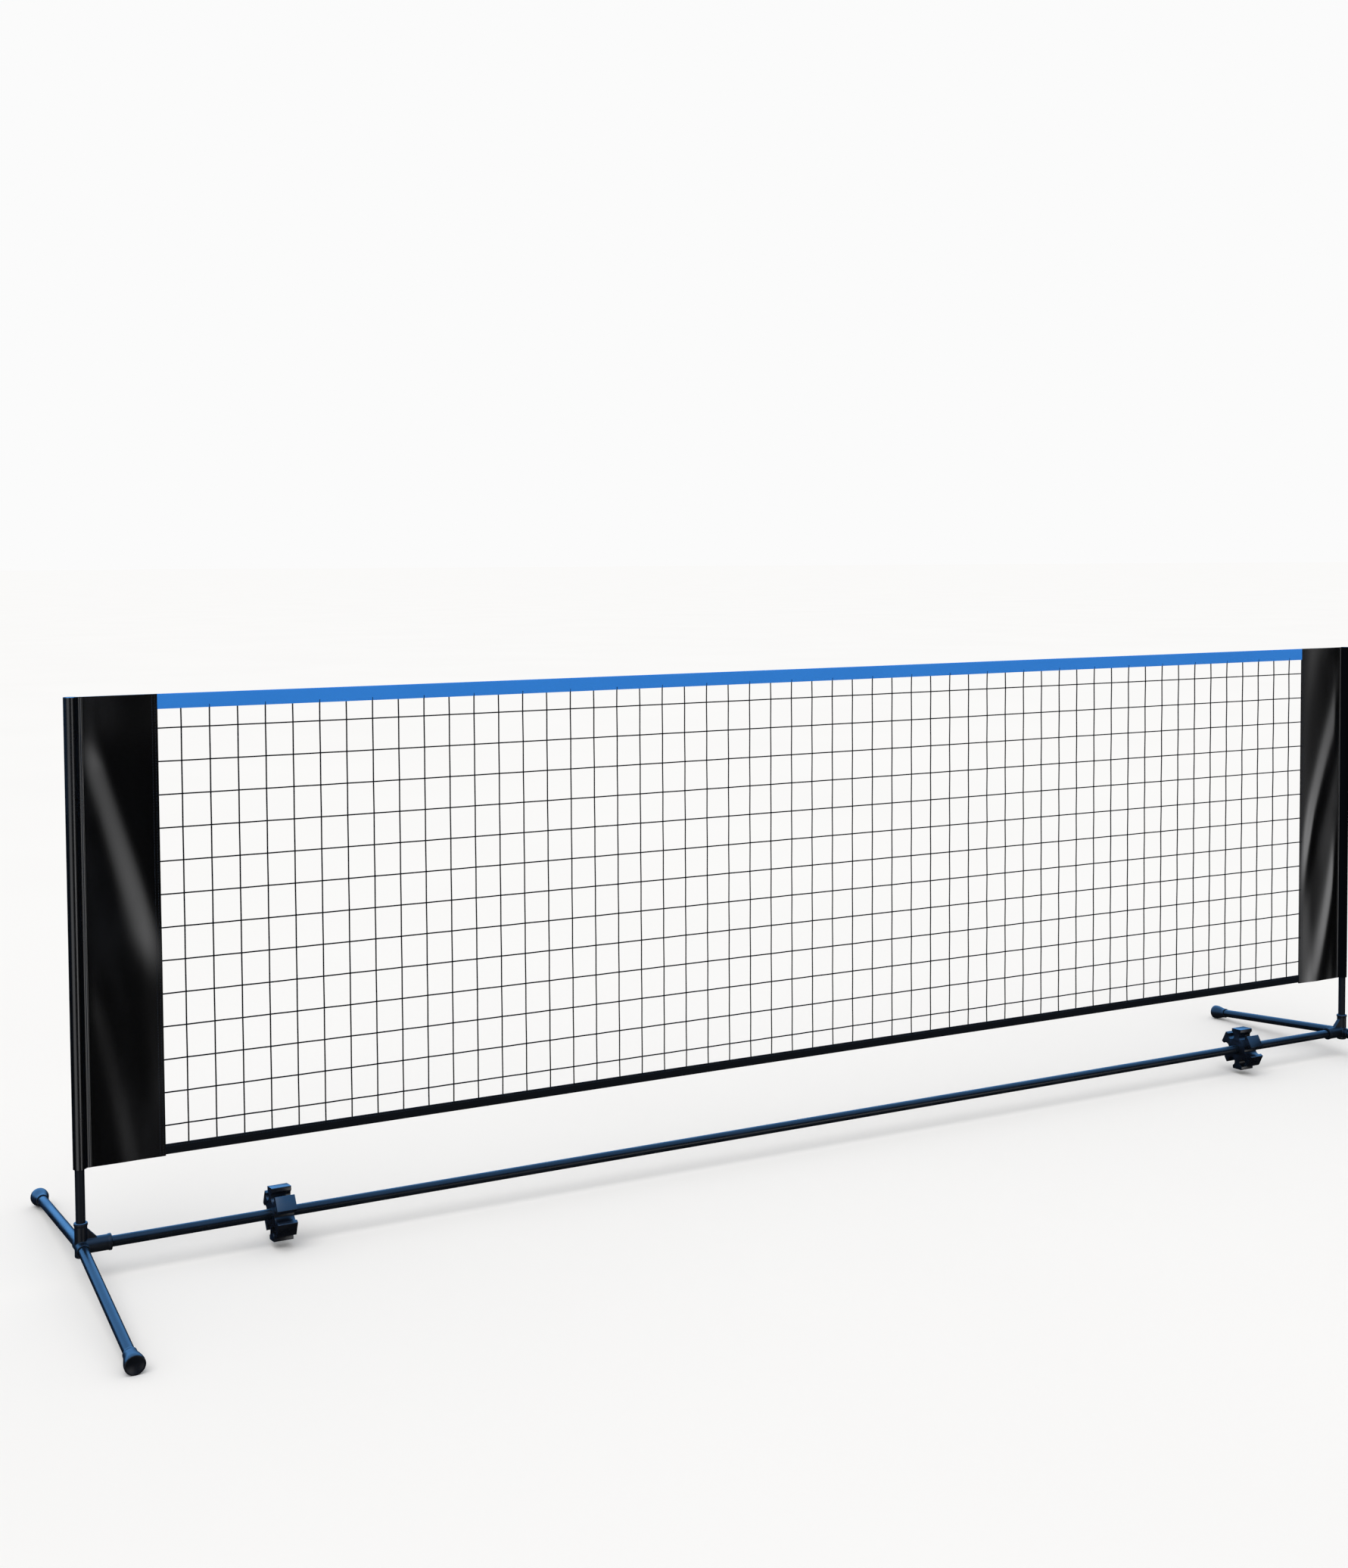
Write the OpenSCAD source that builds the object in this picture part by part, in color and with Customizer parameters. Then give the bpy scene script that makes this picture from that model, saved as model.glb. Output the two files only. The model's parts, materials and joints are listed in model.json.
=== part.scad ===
// Portable net for pickleball: a mesh with two pole sleeves, on two posts that
// stand in a push-together tube base with four sloping legs.
// +X runs right along the net, +Y away from the viewer, +Z up. Millimetres.
// The origin lies on the floor under the middle of the net.

/* [Net] */
// Height of the net, from the top of its tape to the foot of its bottom tape
net_h = 765; // [600:5:900]
// Height of the foot of the net above the axis of the crossbar
net_lift = 130; // [90:5:250]
// Width of one mesh cell
cell_w = 47; // [35:1:60]
// Height of one mesh cell
cell_h = 55; // [35:1:70]
// Thickness of one strand
strand_t = 2.2; // [1.5:0.1:4]
// The solid keeps one in this many strands, both ways, so that its gaps stay few
strand_step = 2; // [2:1:4]

/* [Tapes] */
// Height of the top tape
top_tape_h = 25; // [15:1:50]
// Height of the bottom tape
bottom_tape_h = 17; // [10:1:40]
// Thickness of a folded and sewn tape
tape_t = 2.8; // [2.4:0.2:5]

/* [Sleeves] */
// Width of a sleeve, from its outer edge to the mesh
sleeve_w = 149; // [80:1:220]
// Thickness of the sleeve's two sewn layers
panel_t = 2.4; // [1.6:0.2:4]
// Thickness of the wall of the pole pocket
pocket_wall = 1.8; // [1:0.1:3]
// Play between a post and its pocket, on the radius
pocket_play = 0.65; // [0.4:0.05:1]
// Distance from the sleeve's outer edge to the seam that closes the pocket
seam_at = 25; // [24:0.5:40]
// Width of the seam
seam_w = 3; // [2:0.5:5]
// Height that the seam stands proud of the panel
seam_rise = 0.6; // [0.3:0.1:1]
// Thickness of the sewn top that closes the pocket
pocket_top = 1.6; // [1:0.1:3]
// Distance that a sleeve hangs below the bottom tape
sleeve_drop = 2; // [0:0.5:10]

/* [Posts] */
// Distance between the axes of the two posts
post_spacing = 2845; // [2000:5:3200]
// Outer diameter of a post
post_d = 15.5; // [14:0.5:18]
// Wall of a post tube
post_wall = 1; // [0.8:0.1:2]
// Height of the plug's head on top of a post
plug_head = 3; // [2:0.5:6]
// Length of the plug's stem inside the post
plug_stem = 12; // [8:1:25]

/* [Crossbar] */
// Outer diameter of the crossbar
bar_d = 18; // [16:0.5:20]
// Wall of a crossbar tube
bar_wall = 1.2; // [0.8:0.1:2]
// Length of the ferrule inside each joint of the crossbar
ferrule_l = 120; // [60:5:200]
// Wall of a ferrule
ferrule_wall = 1; // [0.8:0.1:1.5]

/* [Legs] */
// Outer diameter of a leg
leg_d = 18; // [16:0.5:20]
// Wall of a leg tube
leg_wall = 1.2; // [0.8:0.1:2]
// Distance from a post's axis to the end of a foot, seen from above
leg_reach = 408; // [250:2:600]
// Drop of a leg from the crossbar's axis to the end of its foot
leg_drop = 41; // [20:1:90]

/* [Feet] */
// Length of a rubber foot
foot_l = 38; // [30:1:60]
// Outer diameter of a foot at its flared end
foot_d = 31.5; // [28:0.5:40]
// Wall of a foot round the leg
foot_wall = 2; // [1:0.1:3]
// Length of a foot's straight neck
foot_neck = 6; // [3:0.5:10]
// Length of a foot's straight rim at its end
foot_rim = 7; // [4:0.5:10]
// Radius of the rounded edge of the rim
foot_edge = 1.5; // [0.5:0.1:2.5]
// Thickness of a foot's end under the tube
foot_floor = 4; // [3:0.5:8]

/* [Corner tees] */
// Height of the post socket's mouth above the crossbar's axis
post_socket_h = 39.5; // [30:0.5:60]
// Length of the closed stub below the crossbar's axis
stub_h = 17.5; // [15:0.5:30]
// Wall of the post socket
post_socket_wall = 2.5; // [1.5:0.1:4]
// Length of the crossbar socket, from the post's axis to its mouth
bar_socket_l = 48; // [35:1:80]
// Wall of the crossbar socket
bar_socket_wall = 3.7; // [2:0.1:5]
// Height that the lip of each mouth stands proud
lip_rise = 0.9; // [0.4:0.1:2]
// Length of the lip of each mouth
lip_l = 4.5; // [2:0.5:8]
// Length of a leg collar, from the post's axis to its mouth
collar_l = 22; // [18:0.5:35]
// Wall of a leg collar
collar_wall = 1.8; // [1.2:0.1:4]
// Distance from the lip of the post socket down to the top of the corner web
web_top_gap = 6.5; // [0:0.5:8]
// Distance from the lip of the crossbar socket back to the end of the corner web
web_end_gap = 18.5; // [2:0.5:24]
// Thickness of the corner web
web_t = 9; // [4:0.5:12]
// Plastic left between two sockets, where they meet inside
seat_wall = 2; // [1.5:0.1:4]
// Distance from the post's axis to the inner end of a leg
leg_seat = 4; // [2:0.5:8]

/* [Pole clips] */
// Length of a clip along the crossbar
clip_l = 34; // [20:1:60]
// Plastic between the crossbar and the floor of a recess
clip_wall = 15; // [6:0.5:20]
// Width of a lobe's flat head
lobe_w = 27; // [20:0.5:27]
// Distance that the lobes reach past the middle of the recesses
lobe_tip = 11.5; // [10:0.5:16]
// Bevel of a lobe's outer corners
lobe_bevel = 1.2; // [0.4:0.1:3]
// Play between a recess and a tube as thick as the crossbar, on the radius
recess_play = 0.4; // [0.1:0.1:1]
// Distance from the left post's axis to the middle of the left clip
left_clip_at = 330; // [90:5:900]
// Distance from the right post's axis to the middle of the right clip
right_clip_at = 310; // [90:5:900]
// Turn of the left clip on the crossbar: its top lobe leans back by this angle
left_clip_turn = 6.5; // [-30:0.5:30]
// Turn of the right clip on the crossbar: its top lobe leans back by this angle
right_clip_turn = 2.5; // [-30:0.5:30]

/* [Fits] */
// Clearance on the radius of a joint that stays pushed together
fit_gap = 0.05; // [0.02:0.01:0.1]
// Clearance on the radius of a tube that slides
slide_gap = 0.08; // [0.04:0.01:0.1]
// Clearance between a sewn piece and its rigid seat
soft_gap = 0.3; // [0.2:0.1:0.5]

/* [Hidden] */
$fn = 96;
SIDES = [-1, 1];
LOBES = 6;
FLARE_STEPS = 10;
EDGE_STEPS = 6;
MOUTH_BEVEL = 0.5;
CUT = 1;

LEFT = -1;
RIGHT = 1;
FRONT = -1;
REAR = 1;

STEEL_BLACK = [0.06, 0.07, 0.09];
PLASTIC_BLACK = [0.05, 0.05, 0.06];
RUBBER_BLACK = [0.04, 0.04, 0.04];
VINYL_BLACK = [0.07, 0.07, 0.08];
TAPE_BLUE = [0.15, 0.46, 0.79];

// Legs slope down from the tees to the feet, and the rims of the feet touch the floor
leg_slope = atan(leg_drop / leg_reach);
leg_axis = norm([leg_reach, leg_drop]);
tee_z = (leg_axis - foot_edge) * sin(leg_slope)
    + (foot_d / 2 - foot_edge) * cos(leg_slope) + foot_edge;

// The tees: where a post and the crossbar end inside, and the sizes outside
tube_seat = leg_d / 2 + slide_gap + seat_wall;
post_socket_d = post_d + 2 * (slide_gap + post_socket_wall);
bar_socket_d = bar_d + 2 * (fit_gap + bar_socket_wall);
collar_d = leg_d + 2 * (slide_gap + collar_wall);
web_h = post_socket_h - lip_l - web_top_gap;
web_l = bar_socket_l - lip_l - web_end_gap;

// The net, its tapes and its sleeves
net_foot = tee_z + net_lift;
net_top = net_foot + net_h;
mesh_foot = net_foot + bottom_tape_h;
mesh_h = net_h - bottom_tape_h - top_tape_h;
pocket_r = post_d / 2 + pocket_play + pocket_wall;
sleeve_reach = sleeve_w - pocket_r;
mesh_w = post_spacing - 2 * sleeve_reach;
strands_across = floor(mesh_w / cell_w);
strands_up = floor(mesh_h / cell_h);
edge_w = (mesh_w - (strands_across - 1) * cell_w) / 2;
edge_h = (mesh_h - (strands_up - 1) * cell_h) / 2;

// The posts
plug_top = net_top - pocket_top - soft_gap;
post_top = plug_top - plug_head;

// The crossbar, cut into three equal tubes
bar_l = post_spacing - 2 * tube_seat;
section_l = bar_l / 3;

// The pole clips
clip_bore_r = bar_d / 2 + slide_gap;
recess_r = bar_d / 2 + recess_play;
recess_at = clip_bore_r + clip_wall + recess_r;
clip_r = recess_at + lobe_tip;

// A straight tube from z = 0 up
module tube(d, wall, l) {
    difference() {
        cylinder(d = d, h = l);
        translate([0, 0, -CUT]) cylinder(d = d - 2 * wall, h = l + 2 * CUT);
    }
}

// A solid round socket up to l, with a lip at its mouth and bevelled rims
module socket_body(d, l, foot = 0) {
    r = d / 2;
    lip_r = r + lip_rise;
    rotate_extrude()
        polygon([[0, foot], [r - MOUTH_BEVEL, foot], [r, foot + MOUTH_BEVEL],
            [r, l - lip_l], [lip_r, l - lip_l + lip_rise],
            [lip_r, l - MOUTH_BEVEL], [lip_r - MOUTH_BEVEL, l], [0, l]]);
}

// Turns +Z onto the axis of a leg that leaves the tee towards the front or the rear
module along_leg(end) {
    rotate([-end * (90 + leg_slope), 0, 0]) children();
}

module at_tee(side) {
    translate([side * post_spacing / 2, 0, tee_z]) children();
}

// A corner tee whose crossbar socket opens towards +X
module tee() {
    color(PLASTIC_BLACK)
    difference() {
        union() {
            socket_body(post_socket_d, post_socket_h, -stub_h);
            rotate([0, 90, 0]) {
                translate([0, 0, tube_seat]) socket_body(bar_socket_d, bar_socket_l - tube_seat);
                cylinder(d1 = post_socket_d, d2 = bar_socket_d, h = tube_seat + MOUTH_BEVEL);
            }
            for (end = SIDES) along_leg(end) cylinder(d = collar_d, h = collar_l);
            corner_web();
        }
        translate([0, 0, tube_seat]) cylinder(d = post_d + 2 * slide_gap, h = post_socket_h);
        translate([tube_seat, 0, 0]) rotate([0, 90, 0])
            cylinder(d = bar_d + 2 * fit_gap, h = bar_socket_l);
        for (end = SIDES) along_leg(end)
            translate([0, 0, leg_seat]) cylinder(d = leg_d + 2 * slide_gap, h = collar_l);
    }
}

// Triangular web between the post socket and the crossbar socket
module corner_web() {
    translate([0, web_t / 2, 0]) rotate([90, 0, 0]) linear_extrude(web_t)
        polygon([[0, 0], [0, web_h], [post_socket_d / 2, web_h],
            [web_l, bar_socket_d / 2], [web_l, 0]]);
}

module left_tee() {
    at_tee(LEFT) tee();
}

module right_tee() {
    at_tee(RIGHT) mirror([1, 0, 0]) tee();
}

// One of the crossbar's three tubes, counted from the left
module crossbar_section(index) {
    color(STEEL_BLACK)
    translate([-bar_l / 2 + index * section_l, 0, tee_z]) rotate([0, 90, 0])
        tube(bar_d, bar_wall, section_l);
}

// Ferrule inside the joint between two crossbar tubes
module crossbar_ferrule(side) {
    color("silver")
    translate([side * section_l / 2 - ferrule_l / 2, 0, tee_z]) rotate([0, 90, 0])
        tube(bar_d - 2 * (bar_wall + fit_gap), ferrule_wall, ferrule_l);
}

module leg(side, end) {
    color(STEEL_BLACK)
    at_tee(side) along_leg(end) translate([0, 0, leg_seat])
        tube(leg_d, leg_wall, leg_axis - foot_floor - leg_seat);
}

// Radius of a foot's flare, from its neck at t = 0 to its rim at t = 1
function flare_r(t) = leg_d / 2 + foot_wall
    + (foot_d / 2 - leg_d / 2 - foot_wall) * (1 - cos(180 * t)) / 2;

// Outline of a foot, with its mouth at z = 0
function foot_outline() =
    let (neck_r = leg_d / 2 + foot_wall, flare_l = foot_l - foot_neck - foot_rim)
    concat(
        [[0, 0], [neck_r - MOUTH_BEVEL, 0], [neck_r, MOUTH_BEVEL]],
        [for (i = [0:FLARE_STEPS]) [flare_r(i / FLARE_STEPS), foot_neck + flare_l * i / FLARE_STEPS]],
        [for (i = [0:EDGE_STEPS])
            let (a = 90 * i / EDGE_STEPS)
            [foot_d / 2 - foot_edge + foot_edge * cos(a), foot_l - foot_edge + foot_edge * sin(a)]],
        [[0, foot_l]]);

// Bell-shaped rubber foot pushed over the end of a leg
module foot(side, end) {
    color(RUBBER_BLACK)
    at_tee(side) along_leg(end) translate([0, 0, leg_axis - foot_l])
        difference() {
            rotate_extrude() polygon(foot_outline());
            translate([0, 0, -CUT]) cylinder(d = leg_d + 2 * fit_gap, h = foot_l - foot_floor + CUT);
        }
}

module post(side) {
    color(STEEL_BLACK)
    translate([side * post_spacing / 2, 0, tee_z + tube_seat])
        tube(post_d, post_wall, post_top - tee_z - tube_seat);
}

// Plug with a flat head that closes the top of a post
module post_plug(side) {
    color(PLASTIC_BLACK)
    translate([side * post_spacing / 2, 0, post_top]) {
        rotate_extrude()
            polygon([[0, 0], [post_d / 2, 0], [post_d / 2, plug_head - MOUTH_BEVEL],
                [post_d / 2 - MOUTH_BEVEL, plug_head], [0, plug_head]]);
        translate([0, 0, -plug_stem])
            cylinder(d = post_d - 2 * (post_wall + fit_gap), h = plug_stem);
    }
}

// Star of six lobes that slides on the crossbar and clips poles between its lobes
module pole_clip(x, turn) {
    color(PLASTIC_BLACK)
    translate([x + clip_l / 2, 0, tee_z]) rotate([0, -90, 0])
        linear_extrude(clip_l) rotate(turn) difference() {
            for (i = [0:LOBES - 1]) rotate(360 / LOBES * i) lobe();
            circle(r = clip_bore_r);
            for (i = [0:LOBES - 1]) rotate(360 / LOBES * (i + 0.5))
                translate([recess_at, 0]) circle(r = recess_r);
        }
}

module left_clip() {
    pole_clip(-post_spacing / 2 + left_clip_at, left_clip_turn);
}

module right_clip() {
    pole_clip(post_spacing / 2 - right_clip_at, right_clip_turn);
}

// Straight lobe from the middle of a clip out along +X
module lobe() {
    polygon([[0, -lobe_w / 2], [clip_r - lobe_bevel, -lobe_w / 2],
        [clip_r, -lobe_w / 2 + lobe_bevel], [clip_r, lobe_w / 2 - lobe_bevel],
        [clip_r - lobe_bevel, lobe_w / 2], [0, lobe_w / 2]]);
}

// Thin square strands, from tape to tape and from sleeve to sleeve
module net_mesh() {
    color(VINYL_BLACK)
    translate([-mesh_w / 2, strand_t / 2, mesh_foot]) rotate([90, 0, 0])
        linear_extrude(strand_t) {
            for (i = [0:strand_step:strands_across - 1])
                translate([edge_w + i * cell_w - strand_t / 2, 0]) square([strand_t, mesh_h]);
            for (j = [0:strand_step:strands_up - 1])
                translate([0, edge_h + j * cell_h - strand_t / 2]) square([mesh_w, strand_t]);
        }
}

module tape(foot, h) {
    translate([-mesh_w / 2, -tape_t / 2, foot]) cube([mesh_w, tape_t, h]);
}

module top_tape() {
    color(TAPE_BLUE) tape(net_top - top_tape_h, top_tape_h);
}

module bottom_tape() {
    color(VINYL_BLACK) tape(net_foot, bottom_tape_h);
}

// Outline of a sleeve's panel, from the pocket's fold in to the mesh at +X, with its seam
function panel_outline() =
    let (seam_x = seam_at - pocket_r,
        half_seam = panel_t / 2 + seam_rise,
        fold_r = pocket_r - pocket_wall / 2,
        fold = atan2(half_seam, seam_x) + acos(fold_r / norm([seam_x, half_seam])),
        edge = [[fold_r * cos(fold), fold_r * sin(fold)],
            [seam_x, half_seam], [seam_x + seam_w, half_seam],
            [seam_x + seam_w, panel_t / 2], [sleeve_reach, panel_t / 2]],
        last = len(edge) - 1)
    concat(edge, [for (i = [last:-1:0]) [edge[i].x, -edge[i].y]]);

// Sleeve whose round pocket is closed at the top and slides down over a post
module sleeve() {
    sleeve_l = net_h + sleeve_drop;
    color(VINYL_BLACK)
    translate([0, 0, net_foot - sleeve_drop])
        difference() {
            union() {
                cylinder(r = pocket_r, h = sleeve_l);
                linear_extrude(sleeve_l) polygon(panel_outline());
            }
            translate([0, 0, -CUT])
                cylinder(r = post_d / 2 + pocket_play, h = sleeve_l - pocket_top + CUT);
        }
}

module left_sleeve() {
    translate([-post_spacing / 2, 0, 0]) sleeve();
}

module right_sleeve() {
    translate([post_spacing / 2, 0, 0]) mirror([1, 0, 0]) sleeve();
}

net_mesh();
top_tape();
bottom_tape();
left_sleeve();
right_sleeve();
post(LEFT);  // left_post
post(RIGHT);  // right_post
post_plug(LEFT);  // left_post_plug
post_plug(RIGHT);  // right_post_plug
left_tee();
right_tee();
crossbar_section(0);  // crossbar_left
crossbar_section(1);  // crossbar_middle
crossbar_section(2);  // crossbar_right
crossbar_ferrule(LEFT);  // left_crossbar_ferrule
crossbar_ferrule(RIGHT);  // right_crossbar_ferrule
leg(LEFT, FRONT);  // left_front_leg
leg(LEFT, REAR);  // left_rear_leg
leg(RIGHT, FRONT);  // right_front_leg
leg(RIGHT, REAR);  // right_rear_leg
foot(LEFT, FRONT);  // left_front_foot
foot(LEFT, REAR);  // left_rear_foot
foot(RIGHT, FRONT);  // right_front_foot
foot(RIGHT, REAR);  // right_rear_foot
left_clip();  // left_pole_clip
right_clip();  // right_pole_clip
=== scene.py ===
"""Looks of a portable court net: its cloth, cords, tubes, tees, feet, clips and studio."""

import json
import logging
import math
from collections.abc import Callable
from dataclasses import dataclass
from enum import Enum
from typing import ClassVar

import bmesh
import bpy
from mathutils import Matrix, Vector, noise

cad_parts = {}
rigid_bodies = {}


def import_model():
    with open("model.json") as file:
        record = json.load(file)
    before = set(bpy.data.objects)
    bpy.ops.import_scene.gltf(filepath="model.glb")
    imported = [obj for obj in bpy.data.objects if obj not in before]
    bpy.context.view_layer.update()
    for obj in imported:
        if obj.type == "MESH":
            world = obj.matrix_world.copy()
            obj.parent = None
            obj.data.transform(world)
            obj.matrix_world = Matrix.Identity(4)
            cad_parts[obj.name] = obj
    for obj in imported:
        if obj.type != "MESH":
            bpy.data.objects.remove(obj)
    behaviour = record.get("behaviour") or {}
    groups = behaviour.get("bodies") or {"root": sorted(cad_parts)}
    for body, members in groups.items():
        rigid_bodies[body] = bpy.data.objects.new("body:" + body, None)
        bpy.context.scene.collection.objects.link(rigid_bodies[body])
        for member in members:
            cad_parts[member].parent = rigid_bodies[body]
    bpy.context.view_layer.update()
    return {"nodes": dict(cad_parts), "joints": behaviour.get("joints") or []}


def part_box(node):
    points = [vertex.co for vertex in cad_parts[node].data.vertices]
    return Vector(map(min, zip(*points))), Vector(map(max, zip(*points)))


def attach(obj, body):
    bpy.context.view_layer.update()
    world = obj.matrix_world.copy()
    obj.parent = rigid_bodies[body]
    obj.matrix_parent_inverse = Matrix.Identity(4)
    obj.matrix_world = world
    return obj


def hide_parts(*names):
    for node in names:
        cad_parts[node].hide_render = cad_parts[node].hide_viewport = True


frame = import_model()
LOG = logging.getLogger("net")

MM = 0.001
FULL_TURN = 2 * math.pi
QUARTER_TURN = math.pi / 2
Z_TO_X = Matrix.Rotation(QUARTER_TURN, 4, "Y")
SAME_PLACE = 1e-7

Point = tuple[float, float]
Triple = tuple[float, float, float]
Colour = Triple
Tint = Colour | bpy.types.NodeSocket


class Named(Enum):
    """A choice whose name is part of node and piece names."""

    @property
    def word(self) -> str:
        """The choice in node and piece names."""
        return self.name.lower()


class Side(Named):
    """An end of the net, by the sign of its X."""

    LEFT = -1
    RIGHT = 1

    @property
    def inward(self) -> int:
        """The sign of the way along X to the middle of the net."""
        return -self.value


class End(Named):
    """The front or the rear of a tee, by the sign of its Y."""

    FRONT = -1
    REAR = 1


class Join(Enum):
    """How one closed mesh takes up another, by the Boolean modifier's word."""

    ADD = "UNION"
    CUT = "DIFFERENCE"


# ---------------------------------------------------------------- shader maths


class Shade:
    """A shader value that Python's operators work on."""

    def __init__(self, graph: "Graph", socket: bpy.types.NodeSocket) -> None:
        """Wraps an output socket of one of the graph's nodes."""
        self.graph = graph
        self.socket = socket

    def _math(self, operation: str, *values: "Shade | float") -> "Shade":
        """What a Math node makes of its inputs, in order."""
        return self.graph.value("ShaderNodeMath", {"operation": operation}, dict(enumerate(values)))

    def __add__(self, other: "Shade | float") -> "Shade":
        """Sum."""
        return self._math("ADD", self, other)

    def __sub__(self, other: "Shade | float") -> "Shade":
        """Difference."""
        return self._math("SUBTRACT", self, other)

    def __rsub__(self, other: "Shade | float") -> "Shade":
        """Difference from a number."""
        return self._math("SUBTRACT", other, self)

    def __mul__(self, other: "Shade | float") -> "Shade":
        """Product."""
        return self._math("MULTIPLY", self, other)

    __radd__ = __add__
    __rmul__ = __mul__

    def __pow__(self, other: "Shade | float") -> "Shade":
        """Power."""
        return self._math("POWER", self, other)

    def sine(self) -> "Shade":
        """Sine of the value, in radians."""
        return self._math("SINE", self)

    def size(self) -> "Shade":
        """The value without its sign."""
        return self._math("ABSOLUTE", self)

    def lesser(self, other: "Shade | float") -> "Shade":
        """The lesser of two values."""
        return self._math("MINIMUM", self, other)

    def angle(self, other: "Shade") -> "Shade":
        """The angle whose tangent is this value over another, in radians."""
        return self._math("ARCTAN2", self, other)

    def step(self, low: float, high: float) -> "Shade":
        """A smooth step, from 0 at the low value to 1 at the high one."""
        settings = {"interpolation_type": "SMOOTHSTEP"}
        return self.graph.value("ShaderNodeMapRange", settings, {0: self, 1: low, 2: high})


class Graph:
    """A shader's nodes. A Mix node's colours go by number, as its sockets share their names."""

    MIX_FIRST = 6
    MIX_SECOND = 7
    MIX_RESULT = 2

    def __init__(self, tree: bpy.types.NodeTree) -> None:
        """Starts on a node tree, whose nodes are removed."""
        self.tree = tree
        self.tree.nodes.clear()

    def _feed(self, socket: bpy.types.NodeSocket, value: object) -> None:
        """Links or sets an input.

        Args:
            socket: The input socket.
            value: A Shade, an output socket, or a constant.
        """
        if isinstance(value, Shade):
            value = value.socket
        if isinstance(value, bpy.types.NodeSocket):
            self.tree.links.new(value, socket)
            return
        if isinstance(value, tuple) and socket.type == "RGBA":
            value = (*value, 1.0)
        socket.default_value = value

    def node(
        self, kind: str, settings: dict[str, object], inputs: dict[int | str, object]
    ) -> bpy.types.Node:
        """Adds any node.

        Args:
            kind: The node's type.
            settings: Properties that are set first.
            inputs: Values or links of its sockets, by name or number.

        Returns:
            The node.
        """
        made = self.tree.nodes.new(kind)
        for key, value in settings.items():
            setattr(made, key, value)
        for key, value in inputs.items():
            self._feed(made.inputs[key], value)
        return made

    def value(self, kind: str, settings: dict[str, object], inputs: dict[int | str, object]) -> Shade:
        """Adds any node, as its method does, and gives the node's first output."""
        return Shade(self, self.node(kind, settings, inputs).outputs[0])

    def axes(self, output: str = "Object") -> tuple[Shade, Shade, Shade]:
        """X, Y and Z of where a shader is worked out.

        Args:
            output: Object for the piece's own place, in metres, or Generated for a world's direction.

        Returns:
            The three values.
        """
        place = self.node("ShaderNodeTexCoord", {}, {}).outputs[output]
        split = self.node("ShaderNodeSeparateXYZ", {}, {0: place})
        return tuple(Shade(self, socket) for socket in split.outputs)

    def noise(self, per_metre: float, detail: float, stretch: Triple = (1, 1, 1)) -> Shade:
        """Smooth noise in the piece's own coordinates.

        Args:
            per_metre: Blotches in a metre.
            detail: Levels of finer noise.
            stretch: Extra scale along each axis.

        Returns:
            The noise, from about 0 to 1.
        """
        place = self.node("ShaderNodeTexCoord", {}, {}).outputs["Object"]
        scaled = self.node("ShaderNodeMapping", {}, {"Vector": place, "Scale": stretch}).outputs[0]
        return self.value("ShaderNodeTexNoise", {}, {"Vector": scaled, "Scale": per_metre, "Detail": detail})

    def weave(self, thread: float) -> Shade:
        """A plain weave of upright and level threads.

        Args:
            thread: One thread's width, in metres.

        Returns:
            The threads' height, from -1 to 1.
        """
        x, _, z = self.axes()
        turns = FULL_TURN / (2 * thread)
        return (x * turns).sine() * (z * turns).sine()

    def mix(self, share: Shade | bpy.types.NodeSocket, first: Tint, second: Tint) -> bpy.types.NodeSocket:
        """Mixes two linear colours: a share of 0 gives the first one, 1 the second."""
        inputs = {0: share, self.MIX_FIRST: first, self.MIX_SECOND: second}
        return self.node("ShaderNodeMix", {"data_type": "RGBA"}, inputs).outputs[self.MIX_RESULT]


class Paint(Graph):
    """The nodes of one material, around its Principled shader."""

    def __init__(self, name: str) -> None:
        """Starts a material.

        Args:
            name: The material's name.
        """
        self.material = bpy.data.materials.new(name)
        self.material.use_nodes = True
        super().__init__(self.material.node_tree)
        self.shader = self.node("ShaderNodeBsdfPrincipled", {}, {})
        self.node("ShaderNodeOutputMaterial", {}, {"Surface": self.shader.outputs[0]})

    def bump(self, height: Shade, depth: float) -> None:
        """Feeds a bump into the shader's normal: a height from 0 to 1 and its depth in metres."""
        made = self.node("ShaderNodeBump", {}, {"Height": height, "Distance": depth, "Strength": 1.0})
        self.set(Normal=made.outputs[0])

    def set(self, **sockets: object) -> None:
        """Sets or links the shader's sockets, named with underscores for spaces."""
        for key, value in sockets.items():
            self._feed(self.shader.inputs[key.replace("_", " ")], value)


# -------------------------------------------------------------------- finishes


@dataclass(frozen=True)
class Finish:
    """A finish: its names, two colours, roughness and gloss."""

    name: str
    slot: str
    colour: Colour
    shade: Colour
    roughness: float
    gloss: float = 0.35

    def dress(self, graph: Paint) -> None:
        """Adds this finish's own nodes to a material's graph."""
        raise NotImplementedError

    def cover(self, graph: Paint, share: Shade, wear: Shade) -> None:
        """Lays on the two colours by a share from 0 to 1, and roughens them by some wear."""
        graph.set(Base_Color=graph.mix(share, self.colour, self.shade), Roughness=wear + self.roughness)

    def material(self) -> bpy.types.Material:
        """Gives the material, which is made once.

        Returns:
            The material.
        """
        made = bpy.data.materials.get(self.name)
        if made is None:
            graph = Paint(self.name)
            graph.set(Specular_IOR_Level=self.gloss)
            self.dress(graph)
            made = graph.material
            made.diffuse_color = (*self.colour, 1)
        return made


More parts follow.
